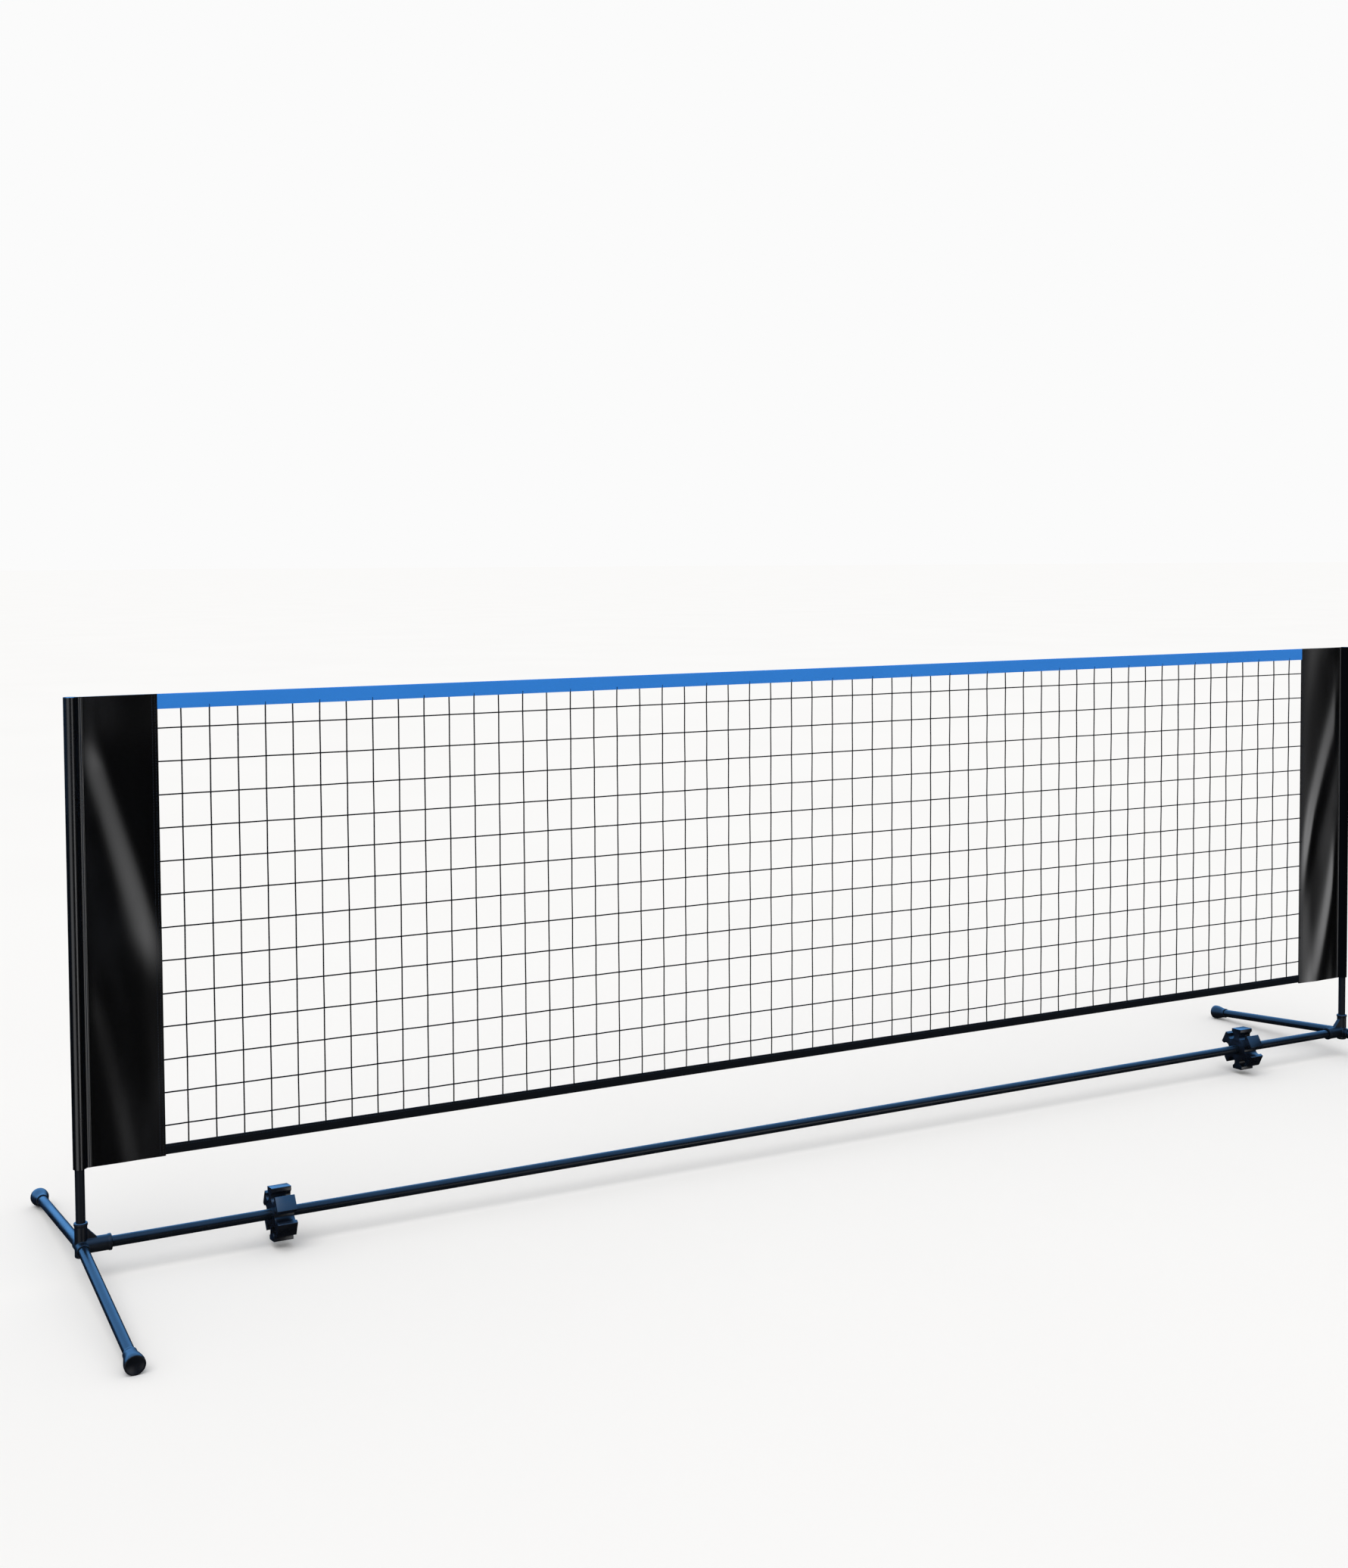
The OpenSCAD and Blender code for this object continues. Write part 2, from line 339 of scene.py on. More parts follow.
@dataclass(frozen=True)
class PowderCoat(Finish):
    """Baked powder on steel tube: a fine orange-peel skin with specks and rubbed patches."""

    peel_per_metre: float = 900
    peel_depth: float = 0.04 * MM
    speck_per_metre: float = 540
    speck_edge: Point = (0.62, 0.7)
    rub_per_metre: float = 14
    rub_edge: Point = (0.42, 0.72)
    rub_share: float = 0.7
    rub_wear: float = 0.1

    def dress(self, graph: Paint) -> None:
        """Adds the peel, the specks and the rubbed patches.

        Args:
            graph: The material's graph.
        """
        rub = graph.noise(self.rub_per_metre, 5).step(*self.rub_edge)
        speck = graph.noise(self.speck_per_metre, 1).step(*self.speck_edge)
        self.cover(graph, rub * self.rub_share + speck * (1 - self.rub_share), rub * self.rub_wear)
        graph.bump(graph.noise(self.peel_per_metre, 2), self.peel_depth)


@dataclass(frozen=True)
class Moulded(Finish):
    """Moulded plastic or rubber: a spark-eroded grain and faint flow marks."""

    grain_per_metre: float = 1500
    grain_depth: float = 0.03 * MM
    flow_per_metre: float = 25
    flow_stretch: Triple = (1, 1, 2.5)
    flow_edge: Point = (0.35, 0.75)
    flow_wear: float = 0.12

    def dress(self, graph: Paint) -> None:
        """Adds the grain and the flow marks.

        Args:
            graph: The material's graph.
        """
        flow = graph.noise(self.flow_per_metre, 4, self.flow_stretch).step(*self.flow_edge)
        self.cover(graph, flow, flow * self.flow_wear)
        graph.bump(graph.noise(self.grain_per_metre, 3), self.grain_depth)


@dataclass(frozen=True)
class Zinc(Finish):
    """Bright zinc plate with drawn lines along the tube."""

    lines_per_metre: float = 500
    lines_stretch: Triple = (0.02, 1, 1)
    lines_wear: float = 0.2

    def dress(self, graph: Paint) -> None:
        """Adds the drawn lines.

        Args:
            graph: The material's graph.
        """
        lines = graph.noise(self.lines_per_metre, 3, self.lines_stretch)
        self.cover(graph, lines, lines * self.lines_wear)
        graph.set(Metallic=1.0)


@dataclass(frozen=True)
class CoatedCloth(Finish):
    """Glossy coat over a fine base cloth, with soft scuffs."""

    thread: float = 0.7 * MM
    weave_depth: float = 0.008 * MM
    scuff_per_metre: float = 9
    scuff_stretch: Triple = (1, 1, 0.35)
    scuff_edge: Point = (0.45, 0.75)
    scuff_wear: float = 0.1
    grain_per_metre: float = 420
    grain_wear: float = 0.06

    def dress(self, graph: Paint) -> None:
        """Adds the cloth's print-through and the scuffs.

        Args:
            graph: The material's graph.
        """
        weave = graph.weave(self.thread) * 0.5 + 0.5
        scuff = graph.noise(self.scuff_per_metre, 6, self.scuff_stretch).step(*self.scuff_edge)
        grain = graph.noise(self.grain_per_metre, 2)
        self.cover(graph, scuff, scuff * self.scuff_wear + grain * self.grain_wear)
        graph.bump(weave * 0.5 + grain * 0.5, self.weave_depth)


@dataclass(frozen=True)
class WovenTape(Finish):
    """Woven tape: a plain weave whose threads show as small bumps."""

    thread: float = 0.6 * MM
    weave_depth: float = 0.06 * MM
    weave_share: float = 0.25
    weave_wear: float = 0.1
    fade_per_metre: float = 6
    fade_edge: Point = (0.3, 0.8)
    fade_share: float = 0.35

    def dress(self, graph: Paint) -> None:
        """Adds the weave and its faded patches.

        Args:
            graph: The material's graph.
        """
        weave = graph.weave(self.thread).size()
        fade = graph.noise(self.fade_per_metre, 5).step(*self.fade_edge)
        share = (weave * self.weave_share + fade * self.fade_share).lesser(1.0)
        self.cover(graph, share, weave * self.weave_wear)
        graph.bump(weave, self.weave_depth)


@dataclass(frozen=True)
class Cord(Finish):
    """Braided cord or thread: slanting plies."""

    plies_per_metre: float = 700
    ply_depth: float = 0.1 * MM
    ply_wear: float = 0.1

    def dress(self, graph: Paint) -> None:
        """Adds the plies.

        Args:
            graph: The material's graph.
        """
        x, y, z = graph.axes()
        plies = ((x + z + y * 2.0) * (FULL_TURN * self.plies_per_metre)).sine() * 0.5 + 0.5
        self.cover(graph, plies, plies * self.ply_wear)
        graph.bump(plies, self.ply_depth)


@dataclass(frozen=True)
class Thread(Cord):
    """Sewing thread: finer plies."""

    plies_per_metre: float = 1600
    ply_depth: float = 0.05 * MM


TUBE_COAT = PowderCoat(
    "black_powder_coat", "black_steel", (0.003, 0.005, 0.008), (0.006, 0.009, 0.014), 0.25, 0.2
)
POST_COAT = PowderCoat(
    "black_post_coat", "black_steel", (0.005, 0.006, 0.008), (0.007, 0.009, 0.012), 0.4, 0.08
)
TEE_PLASTIC = Moulded(
    "tee_plastic", "black_plastic", (0.003, 0.004, 0.006), (0.006, 0.008, 0.011), 0.34, 0.18
)
CLIP_PLASTIC = Moulded(
    "clip_plastic", "black_plastic", (0.002, 0.003, 0.005), (0.005, 0.006, 0.009), 0.26, 0.38
)
FOOT_RUBBER = Moulded("foot_rubber", "black_rubber", (0.003, 0.004, 0.006), (0.006, 0.007, 0.010), 0.3, 0.25)
FERRULE_ZINC = Zinc("ferrule_zinc", "bright_steel", (0.55, 0.56, 0.58), (0.42, 0.43, 0.45), 0.25)
SLEEVE_VINYL = CoatedCloth(
    "sleeve_vinyl", "black_vinyl", (0.0010, 0.0010, 0.0011), (0.0024, 0.0024, 0.0026), 0.14, 0.6
)
GLOSSY_POCKET = CoatedCloth(
    "stretched_vinyl", "black_vinyl", (0.0012, 0.0012, 0.0013), (0.0028, 0.0028, 0.003), 0.2, 0.5
)
# Painted shade: the right pocket's vinyl is a darker, matt copy of the sleeve's vinyl. It stays black as if
# it lay in shade, with no reflection on it.
SHADED_POCKET = CoatedCloth(
    "rubbed_vinyl", "black_vinyl", (0.0006, 0.0006, 0.0007), (0.0014, 0.0014, 0.0016), 0.6, 0.03
)
TOP_TAPE_CLOTH = WovenTape(
    "blue_tape_cloth", "blue_tape", (0.019, 0.185, 0.600), (0.026, 0.215, 0.660), 0.55, 0.2
)
BOTTOM_TAPE_CLOTH = WovenTape(
    "black_tape_cloth", "black_tape", (0.002, 0.002, 0.002), (0.004, 0.004, 0.004), 0.7, 0.1
)
NET_CORD = Cord("net_cord", "mesh_cord", (0.002, 0.002, 0.0025), (0.005, 0.005, 0.006), 0.75, 0.05)
BLACK_THREAD = Thread("black_thread", "black_vinyl", (0.006, 0.006, 0.007), (0.014, 0.014, 0.015), 0.5, 0.3)
BLUE_THREAD = Thread("blue_thread", "blue_tape", (0.016, 0.160, 0.540), (0.030, 0.220, 0.660), 0.5, 0.2)


# ---------------------------------------------------------------- mesh helpers


def linked(name: str, data: bpy.types.ID) -> bpy.types.Object:
    """Puts a mesh, curve, lamp or camera into the scene.

    Args:
        name: The new object's name.
        data: What it holds.

    Returns:
        The object, at the origin.
    """
    made = bpy.data.objects.new(name, data)
    bpy.context.scene.collection.objects.link(made)
    return made


def as_mesh(name: str, bm: bmesh.types.BMesh) -> bpy.types.Mesh:
    """Turns a bmesh into a mesh.

    Args:
        name: The mesh's name.
        bm: The bmesh, which is freed.

    Returns:
        The mesh.
    """
    mesh = bpy.data.meshes.new(name)
    bm.to_mesh(mesh)
    bm.free()
    return mesh


def reopened(mesh: bpy.types.Mesh) -> bmesh.types.BMesh:
    """Turns a mesh back into a bmesh.

    Args:
        mesh: The mesh, which is removed with the object that holds it.

    Returns:
        The bmesh.
    """
    bm = bmesh.new()
    bm.from_mesh(mesh)
    bpy.data.meshes.remove(mesh)
    return bm


def piece(name: str, bm: bmesh.types.BMesh, sharp: float = 35.0) -> bpy.types.Object:
    """Turns a bmesh into an object at the origin, smooth except at sharp edges.

    Args:
        name: The piece's name.
        bm: The mesh, in metres, in the frame of the whole object. It is freed.
        sharp: Angle between two faces, in degrees, from which their edge stays sharp.

    Returns:
        The new object, linked to the scene.
    """
    for face in bm.faces:
        face.smooth = True
    limit = math.radians(sharp)
    for edge in bm.edges:
        edge.smooth = len(edge.link_faces) == 2 and edge.calc_face_angle(0.0) < limit
    return linked(name, as_mesh(name, bm))


def final_mesh(obj: bpy.types.Object) -> bpy.types.Mesh:
    """A new mesh of an object's final shape, with its modifiers or bevel applied."""
    return bpy.data.meshes.new_from_object(obj.evaluated_get(bpy.context.evaluated_depsgraph_get()))


def shaped(obj: bpy.types.Object, kind: str, **settings: object) -> None:
    """Applies a modifier to a piece.

    Args:
        obj: The piece.
        kind: The modifier's type.
        settings: Its properties.
    """
    made = obj.modifiers.new(kind.lower(), kind)
    for key, value in settings.items():
        setattr(made, key, value)
    old, new = obj.data, final_mesh(obj)
    obj.modifiers.clear()
    obj.data = new
    bpy.data.meshes.remove(old)


def combine(base: bpy.types.Object, tool: bmesh.types.BMesh, join: Join) -> None:
    """Adds a closed mesh to a piece or cuts it out.

    Args:
        base: The piece.
        tool: The closed mesh, which is used up.
        join: Which of the two.
    """
    other = piece("tool", tool)
    shaped(base, "BOOLEAN", operation=join.value, object=other, solver="EXACT")
    bpy.data.meshes.remove(other.data)


def finished(obj: bpy.types.Object, finish: Finish, body: str, *replaced: str) -> bpy.types.Object:
    """Dresses a piece and ties it to its body.

    Args:
        obj: The piece.
        finish: Its finish.
        body: The body that it rides on.
        replaced: The solids that it stands for.

    Returns:
        The piece.
    """
    obj.data.materials.clear()
    obj.data.materials.append(finish.material())
    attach(obj, body)
    if replaced:
        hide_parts(*replaced)
    LOG.info("%s: %d faces, %s, on %s", obj.name, len(obj.data.polygons), finish.name, body)
    return obj


def coated(node: str, finish: Finish) -> None:
    """Gives a solid of the frame its finish.

    Args:
        node: The solid's node.
        finish: Its finish.
    """
    solid = frame["nodes"][node]
    solid.data.materials.clear()
    solid.data.materials.append(finish.material())
    LOG.info("%s: %s", node, finish.name)


def drawn(line: list[Vector | Triple], **motion: object) -> bmesh.types.BMesh:
    """The surface that a line draws as it moves.

    Args:
        line: The line's points.
        motion: The spin operator's angle, steps and shift for each step.

    Returns:
        The surface, its faces outwards.
    """
    bm = bmesh.new()
    verts = [bm.verts.new(point) for point in line]
    edges = [bm.edges.new(pair) for pair in zip(verts, verts[1:])]
    bmesh.ops.spin(bm, geom=verts + edges, cent=(0, 0, 0), axis=(0, 0, 1), **motion)
    bmesh.ops.remove_doubles(bm, verts=bm.verts, dist=SAME_PLACE)
    bmesh.ops.recalc_face_normals(bm, faces=bm.faces)
    return bm


def turned(outline: list[Point], steps: int) -> bmesh.types.BMesh:
    """A closed round shape about Z, from its outline's radius and height, from axis to axis."""
    return drawn([(r, 0, z) for r, z in outline], angle=FULL_TURN, steps=steps, use_merge=True)


def swept(line: list[Vector], along: Vector, steps: int) -> bmesh.types.BMesh:
    """A sheet: a line that is drawn out over a length, in some rows of faces."""
    return drawn(line, angle=0, dvec=along / steps, steps=steps)


def placed(bm: bmesh.types.BMesh, matrix: Matrix) -> bmesh.types.BMesh:
    """Moves a shape, and keeps its faces outwards if the matrix mirrors it.

    Args:
        bm: The shape.
        matrix: Where it goes.

    Returns:
        The same shape.
    """
    bmesh.ops.transform(bm, matrix=matrix, verts=bm.verts)
    if matrix.determinant() < 0:
        bmesh.ops.reverse_faces(bm, faces=bm.faces)
    return bm


def stamp(bm: bmesh.types.BMesh, template: bpy.types.Mesh, matrix: Matrix) -> None:
    """Adds a moved copy of a small mesh.

    Args:
        bm: The mesh that it is added to.
        template: The small mesh.
        matrix: Where the copy goes.
    """
    copy = template.copy()
    copy.transform(matrix)
    bm.from_mesh(copy)
    bpy.data.meshes.remove(copy)


def run(start: Point, end: Point, steps: int) -> list[Point]:
    """Even points along a straight line, without its end."""
    return [tuple(Vector(start).lerp(Vector(end), i / steps)) for i in range(steps)]


def arc(middle: Point, r: float, first: float, last: float, steps: int) -> list[Point]:
    """Even points along an arc between two angles, without its end."""
    turns = [first + (last - first) * i / steps for i in range(steps)]
    return [(middle[0] + r * math.cos(a), middle[1] + r * math.sin(a)) for a in turns]


def curve(start: Point, bend: Point, end: Point, steps: int) -> list[Point]:
    """Even points along a curve that bends once, without its end.

    Args:
        start: The first point.
        bend: Where the tangents at both ends meet.
        end: Where the curve goes.
        steps: How many points.

    Returns:
        The points.
    """
    here, corner, there = Vector(start), Vector(bend), Vector(end)
    shares = [i / steps for i in range(steps)]
    return [tuple(here.lerp(corner, t).lerp(corner.lerp(there, t), t)) for t in shares]


def path_length(points: list[Vector]) -> float:
    """Length of a line through points."""
    return sum((b - a).length for a, b in zip(points, points[1:]))


def spread(low: float, high: float, pitch: float) -> list[float]:
    """As many even places as fit between two ends, in the middle between them.

    Args:
        low: The lower end.
        high: The upper end.
        pitch: The step from place to place.

    Returns:
        The places.
    """
    count = math.floor((high - low) / pitch)
    first = (low + high - (count - 1) * pitch) / 2
    return [first + i * pitch for i in range(count)]


def eased(share: float) -> float:
    """A share from 0 to 1 that leaves 0 and reaches 1 softly."""
    share = min(1.0, max(0.0, share))
    return share * share * (3 - 2 * share)


def centre(node: str) -> Vector:
    """The middle of a solid's box, in metres."""
    low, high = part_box(node)
    return (low + high) / 2


# --------------------------------------------------------------------- stitches


@dataclass
class StitchRow:
    """Rows of lockstitches: short humps of thread with gaps between."""

    pitch: float = 4.0 * MM
    stitch: float = 3.0 * MM
    thread: float = 0.35 * MM
    dip: float = 0.9
    taper: float = 0.35
    sides: int = 5

    def hump(self) -> bpy.types.Mesh:
        """Makes one stitch along X, centred, its ends dipping along +Y, into the cloth.

        Returns:
            The stitch.
        """
        bm = bmesh.new()
        bmesh.ops.create_cone(
            bm, cap_ends=True, segments=self.sides, radius1=self.thread, radius2=self.thread,
            depth=self.stitch, matrix=Z_TO_X,
        )
        along = [e for e in bm.edges if abs(e.verts[0].co.x - e.verts[1].co.x) > self.thread]
        bmesh.ops.subdivide_edges(bm, edges=along, cuts=2)
        for vert in bm.verts:
            share = abs(vert.co.x) / (self.stitch / 2)
            vert.co.y += self.thread * self.dip * share**2
            vert.co.yz = vert.co.yz * (1 - self.taper * share**2)
        return as_mesh("stitch", bm)

    def rows(
        self, name: str, starts: list[Vector], along: Vector, length: float, bend: Callable[[Vector], Vector]
    ) -> bpy.types.Object:
        """Lays rows of stitches on the front and the rear of a cloth.

        Args:
            name: The piece's name.
            starts: Where each row starts. The sign of its Y says on which face it lies.
            along: The rows' direction, a unit vector.
            length: The rows' length.
            bend: Moves a point of the flat cloth to its place on the hung cloth.

        Returns:
            The piece.
        """
        bm = bmesh.new()
        template = self.hump()
        count = int(length / self.pitch)
        for start in starts:
            inwards = Vector((0, -math.copysign(1, start.y), 0))
            turn = Matrix((along, inwards, along.cross(inwards))).transposed().to_4x4()
            for index in range(count):
                middle = start + along * ((index + 0.5) * length / count)
                stamp(bm, template, Matrix.Translation(bend(middle)) @ turn)
        bpy.data.meshes.remove(template)
        bmesh.ops.recalc_face_normals(bm, faces=bm.faces)
        return piece(name, bm, sharp=60)


# -------------------------------------------------------------------- the cloth


@dataclass
class NetCloth:
    """The net: its cords, two folded tapes and two pole sleeves."""

    cell_w: float = 47 * MM
    cell_h: float = 55 * MM
    cord_r: float = 1.25 * MM
    cord_weave: float = 0.35
    knot_r: float = 1.5 * MM
    tuck: float = 5 * MM
    wave: float = 2.2 * MM
    lift: float = 0.8 * MM
    dip: float = 0.8 * MM
    tape_cloth: float = 0.8 * MM
    tape_inset: float = 3.2 * MM
    fold_gap: float = 0.3 * MM
    flank_steps: int = 5
    fold_steps: int = 8
    tape_steps: int = 240

    WAVE_PLACE: ClassVar[Triple] = (2.3, 1.1, 3.1)
    LIFT_PLACE: ClassVar[Triple] = (1.7, 7.7, 0.4)

    def __post_init__(self) -> None:
        """Reads the cloth's places from the frame."""
        self.low, self.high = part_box("net_mesh")
        self.xs = spread(self.low.x, self.high.x, self.cell_w)
        self.zs = spread(self.low.z, self.high.z, self.cell_h)

    def build(self) -> None:
        """Makes and dresses the whole cloth."""
        self.cords()
        self.tape("top_tape", TOP_TAPE_CLOTH, BLUE_THREAD, 1)
        self.tape("bottom_tape", BOTTOM_TAPE_CLOTH, BLACK_THREAD, -1)
        for side in Side:
            Sleeve(side).build()

    def hung(self, point: Vector) -> Vector:
        """Moves a point of the flat net to its place on the hung one, which ripples a little.

        Args:
            point: A point in the whole object's frame.

        Returns:
            The moved point. At both sleeves it stays where it is.
        """
        share = point.x / self.high.x
        up = (point.z - self.low.z) / (self.high.z - self.low.z)
        along, aloft, seed = self.WAVE_PLACE
        wave = noise.noise(Vector((point.x * along, point.z * aloft, seed))) * self.wave
        along, *seeds = self.LIFT_PLACE
        lift = noise.noise(Vector((point.x * along, *seeds))) * self.lift
        dip = (1 - share**2) * up * self.dip
        ends = max(0.0, 1 - share**6)
        return point + Vector((0, wave * ends, (lift - dip) * ends))

    def cords(self) -> None:
        """Makes all upright and level cords, with a small knob where two cross."""
        line = bpy.data.curves.new("net_cords", "CURVE")
        line.dimensions = "3D"
        line.bevel_depth = self.cord_r
        line.bevel_resolution = 1
        line.use_fill_caps = True
        over = self.cord_r * self.cord_weave
        heights = [self.low.z - self.tuck, *self.zs, self.high.z + self.tuck]
        widths = [self.low.x - self.tuck, *self.xs, self.high.x + self.tuck]
        for i, x in enumerate(self.xs):
            self.cord(line, [Vector((x, over * (-1) ** (i + j), z)) for j, z in enumerate(heights)])
        for j, z in enumerate(self.zs):
            self.cord(line, [Vector((x, -over * (-1) ** (i + j), z)) for i, x in enumerate(widths)])
        bm = reopened(final_mesh(linked("net_cords", line)))
        bpy.data.curves.remove(line)
        knob = bmesh.new()
        bmesh.ops.create_uvsphere(knob, u_segments=6, v_segments=4, radius=self.knot_r)
        template = as_mesh("knob", knob)
        for x in self.xs:
            for z in self.zs:
                stamp(bm, template, Matrix.Translation(self.hung(Vector((x, 0, z)))))
        bpy.data.meshes.remove(template)
        finished(piece("net_cords", bm, sharp=70), NET_CORD, "net", "net_mesh")

    def cord(self, line: bpy.types.Curve, stops: list[Vector]) -> None:
        """Adds one cord to a curve, with a middle point in each cell.

        Args:
            line: The curve.
            stops: The flat places where the cord crosses others, and its ends.
        """
        points: list[Vector] = []
        for here, there in zip(stops, stops[1:]):
            points += [here, (here + there) / 2]
        points.append(stops[-1])
        spline = line.splines.new("POLY")
        spline.points.add(len(points) - 1)
        for slot, point in zip(spline.points, points):
            slot.co = (*self.hung(point), 1)

    def tape(self, node: str, cloth: Finish, thread: Finish, away: int) -> None:
        """Makes a strip that is folded over the mesh's edge and stitched through.

        Args:
            node: The tape's solid.
            cloth: Its finish.
            thread: The thread's finish.
            away: The sign of the way from the mesh to the fold: 1 is up, -1 down.
        """
        low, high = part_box(node)
        fold_z, edge_z = (high.z, low.z) if away > 0 else (low.z, high.z)
        outer = (high.y - low.y) / 2
        half = outer - self.tape_cloth / 2
        turn_z = fold_z - away * outer
        section = run((-half, edge_z), (-half, turn_z), self.flank_steps)
        section += arc((0, turn_z), half, math.pi, math.pi * (1 - away), self.fold_steps)
        section += [*run((half, turn_z), (half, edge_z), self.flank_steps), (half, edge_z)]
        points = [Vector((low.x - self.fold_gap, y, z)) for y, z in section]
        length = high.x - low.x
        bm = swept(points, Vector((length + 2 * self.fold_gap, 0, 0)), self.tape_steps)
        for vert in bm.verts:
            vert.co = self.hung(vert.co)
        strip = piece(node + "_cloth", bm)
        shaped(strip, "SOLIDIFY", thickness=self.tape_cloth, offset=0.0)
        finished(strip, cloth, "net", node)
        starts = [Vector((low.x, way * outer, edge_z + away * self.tape_inset)) for way in (-1, 1)]
        seam = StitchRow().rows(node + "_stitches", starts, Vector((1, 0, 0)), length, self.hung)
        finished(seam, thread, "net")
        path_length(points)


@dataclass(frozen=True)
class Fold:
    """A long soft ridge that runs down across a panel, in shares of its width and height."""

    at: float
    slope: float
    bend: float
    width: float
    depth: float
    fall: float = 0.32
    rise: float = 0.16

    def shift(self, across: float, up: float) -> float:
        """How far the cloth stands out.

        Args:
            across: Place from the seam, 0, to the mesh, 1.
            up: Height on the sleeve, from 0 to 1.

        Returns:
            The shift along Y, in metres, negative to the front.
        """
        away = up - (self.at - self.slope * across - self.bend * across**2)
        hold = eased(across / self.rise) * eased((1 - across) / self.fall)
        return -self.depth * hold * math.exp(-((away / self.width) ** 2))


@dataclass(frozen=True)
class Tuck:
    """A band that runs down across a panel, where the cloth steps back. It leans out on both sides."""

    top: float
    foot: float
    narrow: float
    wide: float
    depth: float
    start: float = 0.18
    end: float = 0.3
    past: float = 0.02

    def shift(self, across: float, up: float) -> float:
        """How far the cloth stands back.

        Args:
            across: Place from the seam, 0, to the mesh, 1.
            up: Height on the sleeve, from 0 to 1.

        Returns:
            The shift along Y, in metres, negative to the front.
        """
        middle = (self.top - up) / (self.top - self.foot)
        width = self.narrow + (self.wide - self.narrow) * min(1.0, max(0.0, middle))
        hold = eased(middle / self.start) * eased((1 + self.past - middle) / self.end)
        return self.depth * width / self.wide * hold * (eased((across - middle) / width + 0.5) - across)


